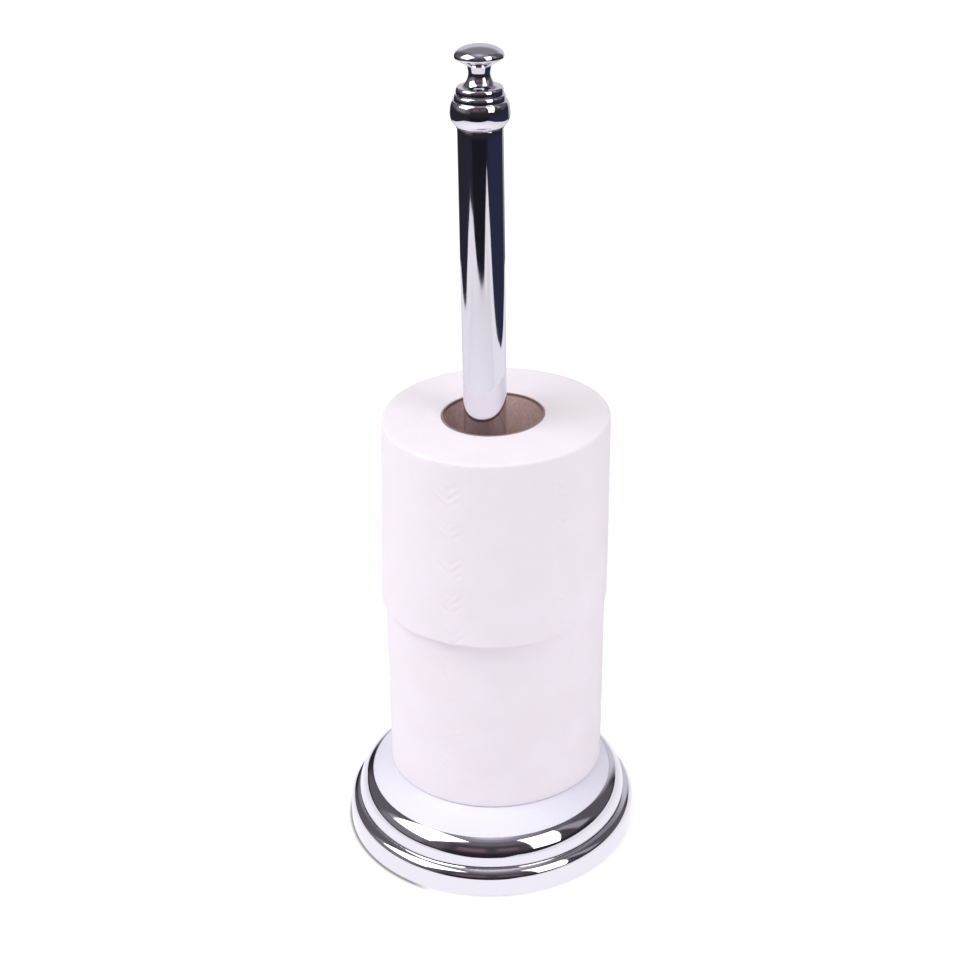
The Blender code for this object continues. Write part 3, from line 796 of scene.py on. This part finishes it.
def build_core(roll, board):
    """The core, a board tube with a slight ridge inside along its spiral joint.

    The ridge is a bell curve of the distance from the joint, which climbs evenly round it.
    """
    outer = CORE_BORE_RADIUS + CORE_WALL
    section = np.array([
        (outer, 0), (outer, ROLL_WIDTH), (CORE_BORE_RADIUS, ROLL_WIDTH),
        (CORE_BORE_RADIUS, 0), (outer, 0),
    ])
    section = thinned(softened(section, softness=0.2), turn=20, step=2.0)[:-1]
    angle = np.linspace(0, TURN, CORE_COLUMNS, endpoint=False)
    radius, height = section[:, 0, None] + 0 * angle, section[:, 1, None] + 0 * angle
    inside = np.clip((outer - radius) / CORE_WALL, 0, 1)
    phase = (angle / TURN + height / BOARD_CLIMB) % 1.0
    ridge_height, joint, sharpness = 0.12, 0.015, 60
    ridge = ridge_height * np.exp(-((phase - joint) * sharpness) ** 2)
    points = roll.stand_up(radius + ridge * inside, angle, height)
    around = angle * CORE_BORE_RADIUS + 0 * height
    lay = np.stack((around, height, radius), axis=-1)
    core = skinned(roll.body + "_core_tube", points, True, lay)
    placed(core, board, roll.body, roll.body + "_core")


def build_paper(roll, tissue):
    """The paper wound on the core.

    Its side has shallow dents, fine wrinkles and worn embossing, sinks evenly by the step
    of the free edge in one turn, and lifts near that edge by a bell curve. Its ends have
    layers that stand a little higher or lower.
    """
    bore = CORE_BORE_RADIUS + CORE_WALL + PAPER_CORE_GAP
    section, fade = paper_section(bore, roll.paper_radius, PAPER_ROWS)
    fade = fade[:, None]
    share = np.linspace(0, 1, PAPER_COLUMNS)
    angle = roll.tail + TURN * share
    radius, height = section[:, 0, None] + 0 * angle, section[:, 1, None] + 0 * angle
    around = angle * roll.paper_radius + 0 * height
    up = height / ROLL_WIDTH
    across = share + 0 * up

    dents = 0.12 * soft_noise(across, up, (9, 4), roll.seed)
    wrinkles = 0.04 * soft_noise(across, up, (60, 10), roll.seed + 1)
    worn = 0.75 + 0.25 * soft_noise(across, up, (24, 8), roll.seed + 2)
    pitch = TURN * roll.paper_radius / MARK_COLUMNS
    marks = embossing(around - pitch * MARK_TURN / (360 / MARK_COLUMNS), height, pitch)
    relief = dents + wrinkles - roll.mark_depth * marks * worn
    relief -= PAPER_TAIL_STEP * (1 - share)
    edge_reach, edge_lift = 7, 0.45
    edge = np.exp(-((1 - share) * 360 / edge_reach) ** 2)
    relief += edge_lift * edge * (0.7 + 0.3 * np.sin(height / 9))

    layers = 0.06 * soft_noise(across, radius / roll.paper_radius, (40, 30), roll.seed + 3)
    beyond_lip = radius > bore + 0.5
    ends = np.where(up > 0.5, 1, -1) * (1 - fade) * layers * beyond_lip
    points = roll.stand_up(radius + relief * fade, angle, height + ends)
    points[..., 2] -= sagging(points)
    lay = np.stack((around, height, radius), axis=-1)
    paper = skinned(roll.body + "_paper_wound", points, True, lay)
    placed(paper, tissue, roll.body, roll.body + "_paper")


# Stage, light and camera, in metres

CAMERA_PLACE = (0.0, -0.730133, 0.566970)
CAMERA_YAW, CAMERA_PITCH, CAMERA_ROLL = -0.00412746, 0.47692796, -0.01917151
CAMERA_LENS = 65.542
SENSOR_WIDTH = 36.0
CAMERA_WHITE = 1.1
# Strength of the painted shadow line that the camera sees under the rim
GAP_SHADE = 0.15
SURROUND_LIGHT = 0.44
SURROUND_SEEN = 1.15
CARD_HEIGHT = 0.08
DOME_RADIUS = 2.6
DOME_HEIGHT = 0.15
LAMP_DISTANCE = 1.8
LAMP_AIM_HEIGHT = 0.12

# The table's outline before it is drawn in, as (x, y, whether a card stands there)
TABLE_CORNERS = (
    (-0.20, -0.75, 0), (0.10, -0.78, 0), (0.30, -0.92, 1), (0.53, -1.00, 1), (0.60, -0.70, 1),
    (0.60, -0.40, 1), (0.63, -0.05, 1), (0.60, 0.20, 1), (0.54, 0.46, 1), (0.45, 0.69, 0),
    (0.0, 0.86, 0), (-0.45, 0.69, 0), (-0.56, 0.53, 1), (-0.64, 0.33, 1), (-0.72, 0.08, 1),
    (-0.80, -0.05, 1), (-0.87, -0.25, 1), (-0.87, -0.53, 1), (-0.67, -0.69, 1),
    (-0.20, -0.75, 0),
)

# The unlit studio as metal sees it, part by part: azimuth from and to (0 is behind the
# camera, 90 to the right), elevation from and to, width of its soft edge, all in degrees,
# and its colour
STUDIO = {
    "room": (-180, 180, -90, 90, 1, "2C292E"),
    "upper_room": (-180, 180, 16, 95, 12, "4B454B"),
    "high_wall": (-180, 180, 50, 95, 14, "706B71"),
    "ceiling": (-180, 180, 69, 95, 8, "96929A"),
    "zenith": (-180, 180, 81, 95, 8, "C6C3CC"),
    "backdrop_upper": (122, 214, 26, 72, 16, "8C8990"),
    "backdrop": (137, 202, -14, 35, 14, "D4D2DA"),
    "left_wall": (-140, -40, 8, 52, 12, "666067"),
    "left_panel": (-103, -54, 25, 46, 9, "A9A6AE"),
    "left_low_panel": (-104, -58, 8, 24, 8, "857F86"),
    "right_wall": (90, 128, 8, 52, 10, "5F595F"),
    "right_panel": (76, 91, 22, 56, 6, "A19DA5"),
    "dark_front": (-45, 35, -60, -2, 12, "1C1D25"),
    "dark_left": (-130, -45, -60, -2, 16, "2C2A36"),
    "dark_right": (35, 130, -60, -2, 16, "2C2F46"),
    "left_shelf": (-30, -6, 22, 37, 6, "765F68"),
    "right_shelf": (4, 22, 25, 37, 6, "765F68"),
}

# Lamps: name, azimuth and elevation as above, the angle by which its right side leans
# down, width, height, radiance, and whether metal mirrors it
LAMPS = (
    ("softbox_left", -75, 50, 0, 1.25, 1.35, 3.1, True),
    ("softbox_right", 49, 40, 12, 0.76, 1.76, 2.3, True),
    ("reflector_left", -78, 6, 0, 1.6, 0.8, 0.9, False),
    ("reflector_right", 78, 6, 0, 1.6, 0.8, 0.95, False),
    ("reflector_top", -25, 66, 0, 0.8, 0.8, 1.3, False),
)


def stage_object(name, points, faces, material):
    """A piece of the stage from points in metres."""
    mesh = bpy.data.meshes.new(name)
    mesh.from_pydata(points, [], faces)
    mesh.materials.append(material)
    thing = bpy.data.objects.new(name, mesh)
    bpy.context.collection.objects.link(thing)
    return thing


def facing(azimuth, elevation):
    """The direction from the object at an azimuth and elevation of the studio, in radians."""
    flat = np.cos(elevation)
    return np.array([np.sin(azimuth) * flat, -np.cos(azimuth) * flat, np.sin(elevation)])


def table_white(name, near, far):
    """The white table, or the card that stands round its edge.

    The camera sees it as pure white, but for a thin painted shadow line in the gap under
    the rim, which clears from the front left to the right. Metal sees a painted pool of
    light on it: brightest at the front left of the base, in the middle of the light that
    falls on it, and darker with the distance from there. All other rays see a plain white
    board.
    """
    material, tree = new_tree(name)
    path = add_node(tree, "LightPath").outputs
    place = object_place(tree)
    radius = add_node(tree, "VectorMath", {0: place}, operation="LENGTH").outputs["Value"]
    clearing = remapped(
        tree, radius, (0.071, 0.079), (0.7, 1.0), interpolation_type="SMOOTHSTEP"
    )
    # A painted shadow: the camera's white dims to GAP_SHADE in a thin ring under the rim, at the
    # front left only
    outside = remapped(tree, radius, (0.0728, 0.0742), (GAP_SHADE, CAMERA_WHITE))
    leftward = add_node(
        tree, "VectorMath", {0: place, 1: (-12.5, -5.8, 0.0)}, operation="DOT_PRODUCT"
    )
    gap_shadow_clearing = remapped(
        tree, leftward.outputs["Value"], (0.75, 0.88), (CAMERA_WHITE, 0.0),
        interpolation_type="SMOOTHSTEP",
    )
    white = add_node(tree, "Emission", {
        "Color": colour("FFFFFF"),
        "Strength": maths(tree, "MAXIMUM", outside, gap_shadow_clearing),
    })
    board = add_node(tree, "BsdfDiffuse", {"Color": colour("F2F1F4")})
    camera_share = maths(tree, "MULTIPLY", clearing, path["Is Camera Ray"])
    seen = add_node(tree, "MixShader", {0: camera_share, 1: board.outputs[0], 2: white.outputs[0]})

    # Metal sees a painted pool of light: the board's glow is strongest near the front left of the
    # base and fades with the distance from there
    painted_pool_distance = add_node(tree, "VectorMath", {0: place, 1: (-0.08, -0.1, 0.0)}, operation="DISTANCE")
    mirrored = add_node(tree, "Emission", {
        "Color": colour("FDFBFF"),
        "Strength": remapped(tree, painted_pool_distance.outputs["Value"], (0.15, 0.7), (near, far)),
    })
    metal = maths(tree, "MAXIMUM", path["Is Glossy Ray"], path["Is Transmission Ray"])
    metal_share = maths(tree, "MULTIPLY", metal, 0.9)
    seen = add_node(
        tree, "MixShader", {0: metal_share, 1: seen.outputs[0], 2: mirrored.outputs[0]}
    )
    below = add_node(tree, "NewGeometry").outputs["Backfacing"]
    clear = add_node(tree, "BsdfTransparent")
    shader = add_node(tree, "MixShader", {0: below, 1: seen.outputs[0], 2: clear.outputs[0]})
    return finished(material, shader)


def build_table():
    """The table top, and white cards along its left and right edges.

    Together they show in the post as its pale and dark tapers: a card's top edge looks to
    the camera in the post like a table that ends further out. The corners are of that wider
    table. Its outline is drawn in by the share of the card's height in the height of the
    mirror image of the table's edge on the post, which is the camera's height times d over
    (d plus the camera's distance) for an edge d away.
    """
    camera_distance, camera_height = 0.72, 0.567
    corners = np.array(TABLE_CORNERS)
    numbers = np.arange(len(corners))
    places = np.linspace(0, numbers[-1], 10 * numbers[-1] + 1)[:-1]
    x, y, card = [np.interp(places, numbers, corners[:, axis]) for axis in range(3)]
    card = card * CARD_HEIGHT
    distance = np.hypot(x, y)
    drawn_in = 1 - card * (distance + camera_distance) / (camera_height * distance)
    x, y = x * drawn_in, y * drawn_in
    count = len(places)
    foot = np.column_stack((x, y, 0 * card)).tolist()
    top = np.column_stack((x, y, card)).tolist()
    stage_object("table", foot, [tuple(range(count))], table_white("table_white", 1.14, 0.82))
    sides = [
        ((i + 1) % count, i, i + count, (i + 1) % count + count)
        for i in range(count)
        if card[i] + card[(i + 1) % count] > 0
    ]
    stage_object("cards", foot + top, sides, table_white("card_white", 1.0, 0.96))


def build_studio():
    """A dome that only reflections see, painted with soft-edged parts of the room.

    Each part's strength at a direction is the product of four eased steps, one for each
    of its sides, and later parts cover earlier ones.
    """
    around, up = np.meshgrid(np.linspace(-180, 180, 181), np.linspace(-90, 90, 91))

    def inside(value, start, end, softness):
        """How far a value is inside two soft ends, from 0 to 1."""
        rise = np.clip((value - start) / softness + 0.5, 0, 1)
        fall = np.clip((end - value) / softness + 0.5, 0, 1)
        return eased(rise) * eased(fall)

    tone = np.zeros((*around.shape, 3))
    for left, right, low, high, softness, hex_colour in STUDIO.values():
        strength = inside(up, low, high, softness)
        if right - left < 360:
            from_middle = (around - (left + right) / 2 + 180) % 360 - 180
            half = (right - left) / 2
            strength = strength * inside(from_middle, -half, half, softness)
        strength = strength[..., None]
        tone = tone * (1 - strength) + linear_from_hex(hex_colour) * strength

    directions = facing(np.radians(around), np.radians(up))
    points = np.moveaxis(directions, 0, -1) * DOME_RADIUS + (0, 0, DOME_HEIGHT)
    index = np.arange(around.size).reshape(around.shape)
    corners = (index[:-1, :-1], index[:-1, 1:], index[1:, 1:], index[1:, :-1])
    faces = np.stack(corners, axis=-1).reshape(-1, 4)
    material, tree = new_tree("unlit_studio")
    paint = add_node(tree, "Attribute", attribute_name="tone").outputs["Color"]
    finished(material, add_node(tree, "Emission", {"Color": paint}))
    dome = stage_object("studio_dome", points.reshape(-1, 3).tolist(), faces.tolist(), material)
    attribute = dome.data.attributes.new("tone", "FLOAT_COLOR", "POINT")
    rgba = np.concatenate((tone, np.ones((*tone.shape[:2], 1))), axis=-1)
    attribute.data.foreach_set("color", rgba.astype(np.float32).ravel())
    dome.data.shade_smooth()
    dome.visible_camera = False
    dome.visible_diffuse = False
    dome.visible_transmission = False
    dome.visible_volume_scatter = False
    dome.visible_shadow = False


def build_lamp(name, azimuth, elevation, lean, width, height, radiance, mirrored):
    """A rectangular light that faces the middle of the rolls. A flat light's power is its
    radiance times its area times pi."""
    data = bpy.data.lights.new(name, "AREA")
    data.shape = "RECTANGLE"
    data.size, data.size_y = width, height
    data.energy = radiance * width * height * math.pi
    light = bpy.data.objects.new(name, data)
    bpy.context.collection.objects.link(light)
    away = facing(np.radians(azimuth), np.radians(elevation))
    level = np.cross((0, 0, 1), away)
    level /= np.linalg.norm(level)
    turn = np.radians(lean)
    right = np.cos(turn) * level - np.sin(turn) * np.cross(away, level)
    axes = np.column_stack((right, np.cross(away, right), away))
    matrix = Matrix(axes.tolist()).to_4x4()
    matrix.translation = (away * LAMP_DISTANCE + (0, 0, LAMP_AIM_HEIGHT)).tolist()
    light.matrix_world = matrix
    light.visible_camera = False
    light.visible_glossy = mirrored


def build_world():
    """A plain white surround for the camera and for metal, and a soft even light."""
    world = bpy.data.worlds.new("studio_light")
    world.use_nodes = True
    tree = world.node_tree
    tree.nodes.clear()
    path = add_node(tree, "LightPath").outputs
    seen = maths(tree, "MAXIMUM", path["Is Camera Ray"], path["Is Glossy Ray"])
    seen = maths(tree, "MAXIMUM", seen, path["Is Transmission Ray"])
    strength = remapped(tree, seen, (0.0, 1.0), (SURROUND_LIGHT, SURROUND_SEEN))
    glow = add_node(tree, "Background", {"Color": colour("FFFFFF"), "Strength": strength})
    add_node(tree, "OutputWorld", {"Surface": glow.outputs[0]})
    bpy.context.scene.world = world


def build_camera():
    """The photograph's viewpoint, from its solved place, heading, tilt and roll."""
    flat = math.cos(CAMERA_PITCH)
    ahead = np.array([
        math.sin(CAMERA_YAW) * flat, math.cos(CAMERA_YAW) * flat, -math.sin(CAMERA_PITCH)
    ])
    level = np.cross(ahead, (0, 0, 1))
    level /= np.linalg.norm(level)
    upright = np.cross(level, ahead)
    right = math.cos(CAMERA_ROLL) * level + math.sin(CAMERA_ROLL) * upright
    up = math.cos(CAMERA_ROLL) * upright - math.sin(CAMERA_ROLL) * level
    matrix = Matrix(np.column_stack((right, up, -ahead)).tolist()).to_4x4()
    matrix.translation = CAMERA_PLACE
    data = bpy.data.cameras.new("photo_view")
    data.lens = CAMERA_LENS
    data.sensor_width = SENSOR_WIDTH
    camera = bpy.data.objects.new("photo_view", data)
    bpy.context.collection.objects.link(camera)
    camera.matrix_world = matrix
    bpy.context.scene.camera = camera


build_camera()
build_world()
build_table()
build_studio()
for lamp in LAMPS:
    build_lamp(*lamp)
bpy.context.scene.view_settings.view_transform = "Standard"

base_chrome = chrome_plate("chrome_plate_pressed", 22, 0.02)
post_chrome = chrome_plate("chrome_plate_drawn", 40, 0.004)
finial_chrome = chrome_plate("chrome_plate_turned", 12, 0.003)
white = white_moulding("white_moulding")
zinc = zinc_plate("zinc_plate")
iron = sand_casting("sand_casting")
foam = pad_foam("pad_foam")
tissue = tissue_paper("embossed_tissue")
board = core_board("core_board")

kept("base_weight", iron)
for node in ("lock_washer", "post_foot_plug", "post_head_plug", "finial_stud"):
    kept(node, zinc)
build_base_parts(white, foam, zinc)
build_cover(base_chrome)
build_tube(post_chrome)
build_finial(finial_chrome)
rolls = (
    Roll("lower_roll", 53.65, 64, 11, 0.25, left=(0.3, -0.5), right=(0.0, 1.0)),
    Roll("upper_roll", 54.0, 118, 5, 0.45, left=(2.0, -1.8), right=(0.4, 1.0)),
)
for roll in rolls:
    build_core(roll, board)
    build_paper(roll, tissue)
